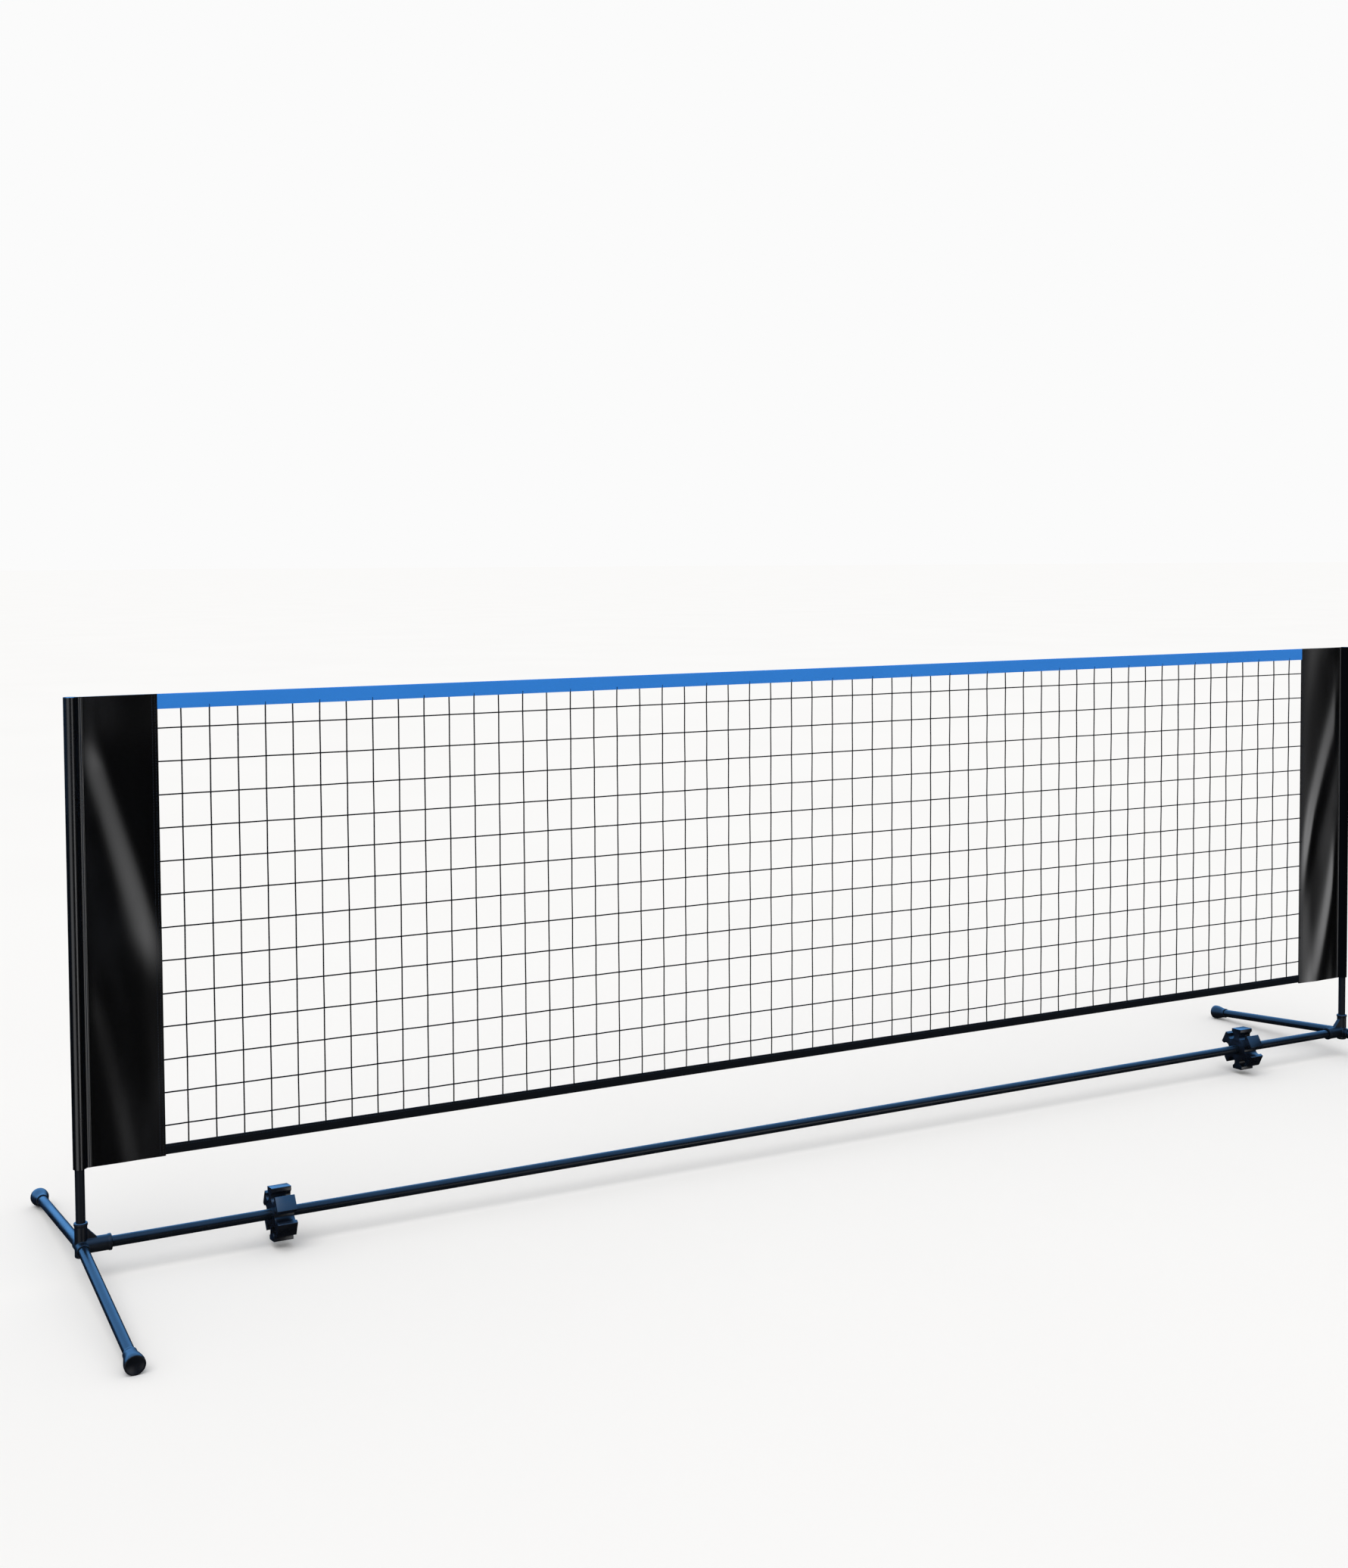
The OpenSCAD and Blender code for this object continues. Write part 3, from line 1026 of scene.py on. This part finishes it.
@dataclass
class Sleeve:
    """A sleeve: one piece of coated cloth, folded round the post and sewn to the mesh."""

    side: Side
    vinyl: float = 0.9 * MM
    panel_t: float = 2.4 * MM
    seam_at: float = 25 * MM
    seam_w: float = 3 * MM
    seam_rise: float = 0.6 * MM
    seam_slope: float = 0.6 * MM
    seam_flat: float = 0.9 * MM
    lift_off: float = 35.0
    waver: float = 0.8 * MM
    fine_share: float = 0.15
    hold_rise: float = 0.2
    hold_fall: float = 0.3
    sway: float = 0.5 * MM
    top_gap: float = 0.1 * MM
    top_t: float = 1.1 * MM
    top_edge: float = 0.4 * MM
    top_crown: float = 0.35 * MM
    shoulder_at: float = 0.6
    shoulder_rise: float = 0.7
    hem: float = 2 * MM
    mesh_seams: Point = (4 * MM, 9 * MM)
    rows: int = 110
    panel_cuts: int = 30
    valley_steps: int = 9
    turn_steps: int = 16
    top_steps: int = 40

    SOFT_PLACE: ClassVar[Triple] = (1.2, 1.8, 1.3)
    FINE_PLACE: ClassVar[Triple] = (3.0, 3.2, 8.3)
    SWAY_PLACE: ClassVar[Point] = (2.5, 5.0)
    FOLDS: ClassVar[dict[Side, tuple[Fold | Tuck, ...]]] = {
        Side.LEFT: (Tuck(0.95, 0.34, 0.34, 0.74, 9.1 * MM), Tuck(0.46, -0.40, 0.26, 0.42, 1.5 * MM)),
        Side.RIGHT: (
            Fold(0.80, 0.38, 0.12, 0.085, 2.8 * MM),
            Fold(0.41, 0.95, -0.40, 0.10, 2.1 * MM),
            Fold(1.20, 0.30, 0.0, 0.17, 2.6 * MM, 0.84),
            Fold(0.06, -0.05, 0.0, 0.20, 1.2 * MM),
        ),
    }
    # The right pocket takes the darker, matt copy of the vinyl, which is painted shade.
    POCKETS: ClassVar[dict[Side, Finish]] = {Side.LEFT: GLOSSY_POCKET, Side.RIGHT: SHADED_POCKET}

    def __post_init__(self) -> None:
        """Reads the sleeve's places from the frame. X is measured inward from the post."""
        self.node = self.side.word + "_sleeve"
        self.low, self.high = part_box(self.node)
        self.post_x = centre(self.side.word + "_post").x
        self.pocket_r = (self.high.y - self.low.y) / 2
        self.reach = self.high.x - self.low.x - self.pocket_r
        self.height = self.high.z - self.low.z
        self.seam_x = self.seam_at - self.pocket_r
        self.top_r = self.pocket_r - self.vinyl - self.top_gap

    def hung(self, point: Vector) -> Vector:
        """Moves a point of the flat sleeve to its place on the hung one.

        Args:
            point: A point in the whole object's frame.

        Returns:
            The moved point.
        """
        panel_x = self.seam_x + self.seam_w
        across = (self.side.inward * (point.x - self.post_x) - panel_x) / (self.reach - panel_x)
        up = (point.z - self.low.z) / self.height
        shift = self.pocket_sway(up) * (1 - max(0.0, across))
        if across > 0:
            shift += self.wrinkle(across, up)
        return point + Vector((0, shift, 0))

    def pocket_sway(self, up: float) -> float:
        """How far the pocket lies off the post's line, along Y, at a height from 0 to 1."""
        tall, seed = self.SWAY_PLACE
        return noise.noise(Vector((up * tall, seed + self.side.value, 0.0))) * self.sway

    def wrinkle(self, across: float, up: float) -> float:
        """Depth of the panel's soft folds.

        Args:
            across: Place from the seam, 0, to the mesh, 1.
            up: Height on the sleeve, from 0 to 1.

        Returns:
            The shift along Y, in metres, positive to the rear.
        """
        slant, tall, seed = self.SOFT_PLACE
        soft = noise.noise(Vector((across * slant + up * slant, up * tall, self.side.value * seed)))
        slant, tall, seed = self.FINE_PLACE
        fine = noise.noise(Vector((across * slant + up * slant, up * tall, seed))) * self.fine_share
        hold = eased(across / self.hold_rise) * eased((1 - across) / self.hold_fall)
        folds = sum(fold.shift(across, up) for fold in self.FOLDS[self.side])
        return (soft + fine) * self.waver * hold + folds

    def line(self) -> list[Vector]:
        """Works out the sleeve's section, from the mesh round the post and back.

        Returns:
            The section's points, about the post's axis.
        """
        r = self.pocket_r - self.vinyl / 2
        layer = (self.panel_t - self.vinyl) / 2
        ridge = layer + self.seam_rise
        ledge = self.seam_x + self.seam_w
        step = (ledge + self.seam_slope, layer)
        flat = (ledge + self.seam_slope + self.seam_flat, layer)
        lift = math.radians(self.lift_off)
        meet = (r * math.cos(lift), r * math.sin(lift))
        bend = (meet[0] + (meet[1] - layer) * math.tan(lift), layer)
        half = run((self.reach, layer), flat, self.panel_cuts)
        half += [flat, step, (ledge, ridge), (self.seam_x, ridge)]
        half += curve((self.seam_x - self.seam_slope, layer), bend, meet, self.valley_steps)
        rear = half + arc((0, 0), r, lift, math.pi, self.turn_steps) + [(-r, 0.0)]
        front = [(x, -y) for x, y in reversed(rear[:-1])]
        return [Vector((x, y, 0)) for x, y in rear + front]

    def build(self) -> None:
        """Makes the sleeve, the top of its pocket and its stitches."""
        points = self.line()
        bm = swept(points, Vector((0, 0, self.height)), self.rows)
        mirror = Matrix.Diagonal((self.side.inward, 1, 1, 1))
        placed(bm, Matrix.Translation((self.post_x, 0, self.low.z)) @ mirror)
        for vert in bm.verts:
            vert.co = self.hung(vert.co)
        panel = piece(self.node + "_cloth", bm, sharp=50)
        shaped(panel, "SOLIDIFY", thickness=self.vinyl, offset=0.0)
        finished(panel, SLEEVE_VINYL, "net", self.node)
        self.dress_pocket(panel)
        top = self.pocket_top()
        seams = self.stitches()
        path_length(points)

    def dress_pocket(self, panel: bpy.types.Object) -> None:
        """Gives the pocket its own finish: on the left a rougher copy of the vinyl, as the cloth is
        stretched there, and on the right a darker, matt copy, painted shade that keeps that pocket black.

        Args:
            panel: The sleeve.
        """
        panel.data.materials.append(self.POCKETS[self.side].material())
        pocket_x = abs(self.post_x) - self.seam_x
        for face in panel.data.polygons:
            face.material_index = int(abs(face.center.x) > pocket_x)

    def pocket_top(self) -> bpy.types.Object:
        """Makes the sewn disc that closes the pocket over the post.

        Returns:
            The piece.
        """
        r, t, edge, crown = self.top_r, self.top_t, self.top_edge, self.top_crown
        outline = [(0, 0), (r - edge, 0), (r, edge), (r, t - edge), (r - edge, t)]
        outline += [(r * self.shoulder_at, t + crown * self.shoulder_rise), (0, t + crown)]
        foot = self.high.z - t - crown - self.top_gap
        place = Matrix.Translation((self.post_x, self.pocket_sway(1.0), foot))
        bm = placed(turned(outline, self.top_steps), place)
        return finished(piece(self.side.word + "_pocket_top", bm, sharp=60), SLEEVE_VINYL, "net")

    def stitches(self) -> bpy.types.Object:
        """Sews along the pocket's seam and along the edge that holds the mesh.

        Returns:
            The piece.
        """
        panel_y = self.panel_t / 2
        spots = [(self.seam_x + self.seam_w / 2, panel_y + self.seam_rise)]
        spots += [(self.reach - inset, panel_y) for inset in self.mesh_seams]
        starts = [
            Vector((self.post_x + self.side.inward * x, way * y, self.low.z + self.hem))
            for x, y in spots for way in (-1, 1)
        ]
        seams = StitchRow(pitch=4.5 * MM, stitch=3.4 * MM, thread=0.4 * MM).rows(
            self.node + "_stitches", starts, Vector((0, 0, 1)), self.height - 2 * self.hem, self.hung
        )
        return finished(seams, BLACK_THREAD, "net")


# --------------------------------------------------------------------- the base


@dataclass
class Tee:
    """A corner tee: post socket, crossbar socket, two leg collars and a web, in millimetres."""

    side: Side
    post_d: float = 15.5
    tube_d: float = 18.0
    slide_gap: float = 0.08
    fit_gap: float = 0.05
    post_wall: float = 2.5
    bar_wall: float = 3.7
    collar_wall: float = 1.8
    post_mouth: float = 39.5
    stub: float = 17.5
    bar_mouth: float = 48.0
    collar_mouth: float = 22.0
    lip_rise: float = 0.9
    lip_l: float = 4.5
    web_h: float = 28.5
    web_l: float = 25.0
    web_t: float = 9.0
    seat_wall: float = 2.0
    leg_seat: float = 4.0
    bevel: float = 0.5
    collar_bevel: float = 0.9
    overcut: float = 2.0
    voxel: float = 0.5
    smooth_rounds: int = 5
    steps: int = 72

    def __post_init__(self) -> None:
        """Reads the tee's place and the legs' slope from the frame."""
        self.tube_seat = self.tube_d / 2 + self.slide_gap + self.seat_wall
        self.post_r = self.post_d / 2 + self.slide_gap + self.post_wall
        self.bar_r = self.tube_d / 2 + self.fit_gap + self.bar_wall
        pull = next(j for j in frame["joints"] if j["name"] == self.side.word + "_front_leg_pull")
        self.slope = math.atan2(-pull["axis"][2], -pull["axis"][1])
        bar = centre("crossbar_middle")
        self.place = Vector((centre(self.side.word + "_post").x, bar.y, bar.z))

    def socket(self, r: float, foot: float, mouth: float) -> bmesh.types.BMesh:
        """A solid round socket about Z with a lip at its mouth.

        Args:
            r: Its radius.
            foot: Height of its closed end.
            mouth: Height of its mouth.

        Returns:
            The shape.
        """
        lip = r + self.lip_rise
        lip_foot = mouth - self.lip_l
        outline = [(0, foot), (r - 2 * self.bevel, foot), (r, foot + 2 * self.bevel)]
        outline += [(r, lip_foot - self.lip_rise), (lip, lip_foot)]
        outline += [(lip, mouth - self.bevel), (lip - self.bevel, mouth), (0, mouth)]
        return turned(outline, self.steps)

    def rod(self, r: float, foot: float, mouth: float, bevel: float = 0.0) -> bmesh.types.BMesh:
        """A round rod about Z, between two heights, with a bevel on its upper rim if it has one."""
        rim = [(r, mouth - bevel), (r - bevel, mouth)] if bevel else [(r, mouth)]
        return turned([(0, foot), (r, foot), *rim, (0, mouth)], self.steps)

    def web(self) -> bmesh.types.BMesh:
        """Makes the web in the corner.

        Returns:
            The shape.
        """
        bm = bmesh.new()
        slant = [(self.post_r, self.web_h), (self.web_l, self.bar_r)]
        corners = [(0, 0), (0, self.web_h), *slant, (self.web_l, 0)]
        face = bm.faces.new([bm.verts.new((x, -self.web_t / 2, z)) for x, z in corners])
        wide = bmesh.ops.extrude_face_region(bm, geom=[face])
        far = [v for v in wide["geom"] if isinstance(v, bmesh.types.BMVert)]
        bmesh.ops.translate(bm, verts=far, vec=(0, self.web_t, 0))
        bmesh.ops.recalc_face_normals(bm, faces=bm.faces)
        return bm

    def leg_turn(self, end: End) -> Matrix:
        """Turns Z onto the axis of the front or the rear leg."""
        return Matrix.Rotation(-end.value * (QUARTER_TURN + self.slope), 4, "X")

    def build(self) -> None:
        """Makes the tee as one rounded moulding."""
        leg_r = self.tube_d / 2 + self.slide_gap
        post_bore_r = self.post_d / 2 + self.slide_gap
        post_bore = self.rod(post_bore_r, self.tube_seat, self.post_mouth + self.overcut)
        bar_bore_r = self.tube_d / 2 + self.fit_gap
        bar_bore = self.rod(bar_bore_r, self.tube_seat, self.bar_mouth + self.overcut)
        solids = [placed(self.socket(self.bar_r, 0, self.bar_mouth), Z_TO_X), self.web()]
        cuts = [post_bore, placed(bar_bore, Z_TO_X)]
        for end in End:
            collar = self.rod(leg_r + self.collar_wall, 0, self.collar_mouth, self.collar_bevel)
            solids.append(placed(collar, self.leg_turn(end)))
            bore = self.rod(leg_r, self.leg_seat, self.collar_mouth + self.overcut)
            cuts.append(placed(bore, self.leg_turn(end)))
        body = piece("tee", self.socket(self.post_r, -self.stub, self.post_mouth))
        for solid in solids:
            combine(body, solid, Join.ADD)
        for cut in cuts:
            combine(body, cut, Join.CUT)
        voxel = self.voxel * 1
        shaped(body, "REMESH", mode="VOXEL", voxel_size=voxel, use_smooth_shade=True)
        bm = reopened(body.data)
        for _ in range(self.smooth_rounds):
            bmesh.ops.smooth_vert(
                bm, verts=bm.verts, factor=0.5, use_axis_x=True, use_axis_y=True, use_axis_z=True
            )
        scale = Matrix.Diagonal((self.side.inward * MM, MM, MM, 1))
        placed(bm, Matrix.Translation(self.place) @ scale)
        node = self.side.word + "_tee"
        finished(piece(node + "_moulding", bm, sharp=80), TEE_PLASTIC, "base", node)


@dataclass
class Foot:
    """A rubber foot: a bell that grips the leg, with a wear ring round its rim, in millimetres."""

    side: Side
    end: End
    leg_d: float = 18.0
    wall: float = 2.0
    fit_gap: float = 0.05
    length: float = 38.0
    rim_d: float = 31.5
    neck_l: float = 6.0
    rim_l: float = 7.0
    edge: float = 1.5
    floor: float = 4.0
    ring_w: float = 3.6
    dish: float = 0.6
    dish_slope: float = 0.9
    groove: float = 0.1
    groove_at: float = 0.5
    groove_slope: float = 0.7
    lip: float = 1.2
    lip_mid: float = 0.35
    mouth_w: float = 0.2
    mouth_h: float = 0.3
    bell: float = 0.3
    flare_steps: int = 24
    edge_steps: int = 8
    steps: int = 72

    def outline(self) -> list[Point]:
        """Works out the foot's section, from the middle of its end round its rim and into its bore.

        Returns:
            The section's points: radius and height from the mouth.
        """
        neck, rim = self.leg_d / 2 + self.wall, self.rim_d / 2
        bore = self.leg_d / 2 + self.fit_gap
        waist = neck - self.groove
        flare = self.length - self.neck_l - self.rim_l
        dish = self.length - self.dish
        ring = rim - self.ring_w
        points = [(0.0, dish), (ring - self.dish_slope, dish), (ring, self.length)]
        edge_z = self.length - self.edge
        points += arc((rim - self.edge, edge_z), self.edge, QUARTER_TURN, 0, self.edge_steps)
        points.append((rim, edge_z))
        for i in range(self.flare_steps + 1):
            t = 1 - i / self.flare_steps
            swell = (1 - math.cos(math.pi * t)) / 2 * self.bell + t * (1 - self.bell)
            points.append((waist + (rim - waist) * swell, self.neck_l + flare * t))
        neck_top = self.neck_l - self.groove_at
        points += [(waist, neck_top), (neck, neck_top - self.groove_slope)]
        points += [(neck, self.lip), (neck - self.lip_mid, self.lip_mid), (neck - self.lip, 0.0)]
        points += [(bore + self.mouth_w, 0.0), (bore, self.mouth_h)]
        return points + [(bore, self.length - self.floor), (0.0, self.length - self.floor)]

    def build(self, tee: Tee) -> None:
        """Makes the foot on its leg.

        Args:
            tee: The tee that the leg leaves, which gives its direction.
        """
        leg = f"{self.side.word}_{self.end.word}_leg"
        node = f"{self.side.word}_{self.end.word}_foot"
        turn = tee.leg_turn(self.end)
        axis = turn.to_3x3() @ Vector((0, 0, 1))
        reach = max(abs(corner.y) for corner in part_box(node)) / MM
        rim = (self.rim_d / 2 - self.edge) * math.sin(tee.slope) + self.edge
        tip = (reach - rim) / abs(axis.y) + self.edge
        bm = turned([(r * MM, z * MM) for r, z in self.outline()], self.steps)
        placed(bm, Matrix.Translation(tee.place + axis * (tip - self.length) * MM) @ turn)
        finished(piece(node + "_bell", bm, sharp=40), FOOT_RUBBER, leg, node)


@dataclass
class PoleClip:
    """A six-lobed clip on the crossbar, with round recesses between its lobes, in millimetres."""

    side: Side
    turn: float
    length: float = 34.0
    bar_d: float = 18.0
    slide_gap: float = 0.08
    wall: float = 15.0
    lobe_w: float = 27.0
    tip: float = 11.5
    play: float = 0.4
    corner: float = 1.2
    corner_steps: int = 4
    round_r: float = 0.5
    round_steps: int = 3
    round_from: float = 32.0
    overcut: float = 1.0
    weld: float = 0.001
    lobes: int = 6
    steps: int = 72

    def __post_init__(self) -> None:
        """Works out the clip's radii."""
        self.bore_r = self.bar_d / 2 + self.slide_gap
        self.recess_r = self.bar_d / 2 + self.play
        self.recess_at = self.bore_r + self.wall + self.recess_r
        self.outer_r = self.recess_at + self.tip

    def bar(self, angle: float) -> bmesh.types.BMesh:
        """Two opposite lobes as one block.

        Args:
            angle: Turn about X from upright.

        Returns:
            The block.
        """
        bm = bmesh.new()
        size = Matrix.Diagonal((self.length, self.lobe_w, 2 * self.outer_r, 1))
        bmesh.ops.create_cube(bm, size=1, matrix=size)
        long_edges = [e for e in bm.edges if abs(e.verts[0].co.x - e.verts[1].co.x) > self.length / 2]
        bmesh.ops.bevel(
            bm, geom=long_edges, offset=self.corner, offset_type="OFFSET", segments=self.corner_steps,
            profile=0.5, affect="EDGES", material=-1,
        )
        return placed(bm, Matrix.Rotation(angle, 4, "X"))

    def rod(self, r: float, out: float = 0.0, angle: float = 0.0) -> bmesh.types.BMesh:
        """A cutter along X.

        Args:
            r: Its radius.
            out: Its distance from the clip's axis.
            angle: Turn of its place about X from upright.

        Returns:
            The cutter.
        """
        half = self.length / 2 + self.overcut
        bm = turned([(0, -half), (r, -half), (r, half), (0, half)], self.steps)
        place = Matrix.Rotation(angle, 4, "X") @ Vector((0, 0, out))
        return placed(bm, Matrix.Translation(place) @ Z_TO_X)

    def build(self) -> None:
        """Makes the clip with rounded edges."""
        step = FULL_TURN / self.lobes
        body = piece("lobes", self.bar(0))
        for index in range(1, self.lobes // 2):
            combine(body, self.bar(step * index), Join.ADD)
        combine(body, self.rod(self.bore_r), Join.CUT)
        for index in range(self.lobes):
            combine(body, self.rod(self.recess_r, self.recess_at, step * (index + 0.5)), Join.CUT)
        shaped(
            body, "BEVEL", width=self.round_r, segments=self.round_steps, limit_method="ANGLE",
            angle_limit=math.radians(self.round_from),
        )
        bm = reopened(body.data)
        bmesh.ops.remove_doubles(bm, verts=bm.verts, dist=self.weld)
        node = self.side.word + "_pole_clip"
        bar = centre("crossbar_middle")
        place = Matrix.Translation((centre(node).x, bar.y, bar.z))
        turn = Matrix.Rotation(-math.radians(self.turn), 4, "X")
        placed(bm, place @ turn @ Matrix.Diagonal((MM, MM, MM, 1)))
        finished(piece(node + "_star", bm, sharp=32), CLIP_PLASTIC, self.side.word + "_clip", node)


class Base:
    """The tube base, its tees, feet and clips."""

    CLIP_TURNS: ClassVar[dict[Side, float]] = {Side.LEFT: 6.5, Side.RIGHT: 2.5}

    def build(self) -> None:
        """Dresses the tubes and makes the moulded pieces."""
        for side in Side:
            tee = Tee(side)
            tee.build()
            for end in End:
                Foot(side, end).build(tee)
                coated(f"{side.word}_{end.word}_leg", TUBE_COAT)
            PoleClip(side, self.CLIP_TURNS[side]).build()
            coated(side.word + "_post", POST_COAT)
            coated(side.word + "_post_plug", TEE_PLASTIC)
            coated(side.word + "_crossbar_ferrule", FERRULE_ZINC)
        for place in ("left", "middle", "right"):
            coated("crossbar_" + place, TUBE_COAT)


# ------------------------------------------------------------------- the studio


@dataclass(frozen=True)
class Glow:
    """A soft bright window of the room, which only glossy surfaces mirror. Angles are in degrees."""

    left: float
    right: float
    low: float
    high: float
    edge: float
    colour: Colour

    def share(self, bearing: Shade, height: Shade) -> Shade:
        """How far a direction lies inside the window.

        Args:
            bearing: The direction's angle round Z, in radians. -Y is 0 and +X is a quarter turn.
            height: Its angle above the horizon.

        Returns:
            The share, from 0 to 1.
        """
        inside = 1.0
        for value, first, last in ((bearing, self.left, self.right), (height, self.low, self.high)):
            rise = value.step(math.radians(first), math.radians(first + self.edge))
            fall = 1.0 - value.step(math.radians(last - self.edge), math.radians(last))
            inside = rise * fall * inside
        return inside


@dataclass
class Viewpoint:
    """The camera: where it stands, how it looks, in degrees, and where the picture's centre lies."""

    place: Vector
    yaw: float
    pitch: float
    roll: float
    focal_px: float
    centre_y_px: float
    picture_h_px: float = 2072
    sensor: float = 36
    reach: float = 200

    def build(self) -> None:
        """Sets up the camera."""
        yaw, pitch, roll = (math.radians(a) for a in (self.yaw, self.pitch, self.roll))
        level = Vector((math.cos(yaw), -math.sin(yaw), 0))
        look = Vector((math.sin(yaw) * math.cos(pitch), math.cos(yaw) * math.cos(pitch), math.sin(pitch)))
        above = level.cross(look)
        right = level * math.cos(roll) + above * math.sin(roll)
        up = above * math.cos(roll) - level * math.sin(roll)
        data = bpy.data.cameras.new("camera")
        data.sensor_width = self.sensor
        data.lens = self.sensor * self.focal_px / self.picture_h_px
        data.shift_y = (self.centre_y_px - self.picture_h_px / 2) / self.picture_h_px
        data.clip_end = self.reach
        camera = linked("camera", data)
        turn = Matrix((right, up, -look)).transposed().to_4x4()
        camera.matrix_world = Matrix.Translation(self.place) @ turn
        bpy.context.scene.camera = camera


class Studio:
    """A pale floor, a soft lamp, a bright room and the camera."""

    VIEW = Viewpoint(Vector((-1.9707, -3.1221, 1.1734)), 27.772, -2.708, -0.356, 2493.3, 851.2)
    FLOOR_HALF = 200.0
    FLOOR_TONES = ((0.90, 0.90, 0.90), (0.93, 0.93, 0.93))
    FLOOR_PER_METRE = 0.8
    SUN_POWER = 1.2
    SUN_WIDTH = 50.0
    SUN_COLOUR = (1.0, 0.98, 0.95)
    SUN_PLACE = Vector((-0.45, -0.55, 1.2))
    AIR = (0.72, 0.72, 0.72)
    BACKDROP = (0.965, 0.965, 0.965)
    GROUND = (0.008, 0.008, 0.009)
    SKY = (0.62, 1.8, 3.9)
    SKY_EDGE = (0.05, 0.5)
    SKY_LEAN = (-0.2, 0.25)
    SKY_RIM = 0.1
    GLOWS = (
        Glow(left=-70, right=-12, low=-40, high=10, edge=14, colour=(1.6, 1.62, 1.65)),
        Glow(left=15, right=47, low=-26, high=6, edge=15, colour=(4.1, 4.1, 4.15)),
    )

    def build(self) -> None:
        """Sets up the studio."""
        self.VIEW.build()
        self.floor()
        self.sky()
        self.sun()
        bpy.context.scene.view_settings.view_transform = "Standard"

    def sun(self) -> None:
        """Hangs one wide soft lamp, far away, so that it lights the floor evenly."""
        data = bpy.data.lights.new("key", "SUN")
        data.energy = self.SUN_POWER
        data.angle = math.radians(self.SUN_WIDTH)
        data.color = self.SUN_COLOUR
        linked("key", data).rotation_euler = (-self.SUN_PLACE).to_track_quat("-Z", "Y").to_euler()

    def floor(self) -> None:
        """Lays the floor."""
        bm = bmesh.new()
        bmesh.ops.create_grid(bm, x_segments=8, y_segments=8, size=self.FLOOR_HALF)
        ground = piece("studio_floor", bm)
        graph = Paint("studio_floor_paint")
        tone = graph.noise(self.FLOOR_PER_METRE, 2)
        graph.set(Base_Color=graph.mix(tone, *self.FLOOR_TONES), Roughness=0.9, Specular_IOR_Level=0.0)
        ground.data.materials.append(graph.material)
        ground.visible_glossy = False

    def sky(self) -> None:
        """Fills the room: even light for matt surfaces, a sky and soft patches for glossy ones."""
        world = bpy.data.worlds.new("studio_air")
        world.use_nodes = True
        world.cycles.sampling_method = "NONE"
        graph = Graph(world.node_tree)
        x, y, z = graph.axes("Generated")
        bearing = x.angle(y * -1.0)
        height = z.angle((x * x + y * y) ** 0.5)
        above = z + x * self.SKY_LEAN[0] + y * self.SKY_LEAN[1]
        open_sky = above.step(*self.SKY_EDGE) * z.step(0.0, self.SKY_RIM)
        mirrored = graph.mix(open_sky, self.GROUND, self.SKY)
        for glow in self.GLOWS:
            mirrored = graph.mix(glow.share(bearing, height), mirrored, glow.colour)
        rays = graph.node("ShaderNodeLightPath", {}, {}).outputs
        plain = graph.mix(rays["Is Glossy Ray"], self.AIR, mirrored)
        seen = graph.mix(rays["Is Camera Ray"], plain, self.BACKDROP)
        shade = graph.node("ShaderNodeBackground", {}, {"Color": seen, "Strength": 1.0})
        graph.node("ShaderNodeOutputWorld", {}, {"Surface": shade.outputs[0]})
        bpy.context.scene.world = world


def keep_reflections_plain() -> None:
    """Lets glossy pieces mirror the room alone, as the cloth and the posts would darken the legs."""
    for name in ("cloth", "post", "tape", "cords"):
        for obj in bpy.context.scene.objects:
            if name in obj.name and obj.type == "MESH":
                obj.visible_glossy = False


def main() -> None:
    """Builds the net piece by piece, then the studio."""
    logging.basicConfig(level=logging.INFO, format="%(relativeCreated)7d %(name)s: %(message)s")
    for assembly in (Base(), NetCloth(), Studio()):
        assembly.build()
    keep_reflections_plain()


if __name__ == "__main__":
    main()
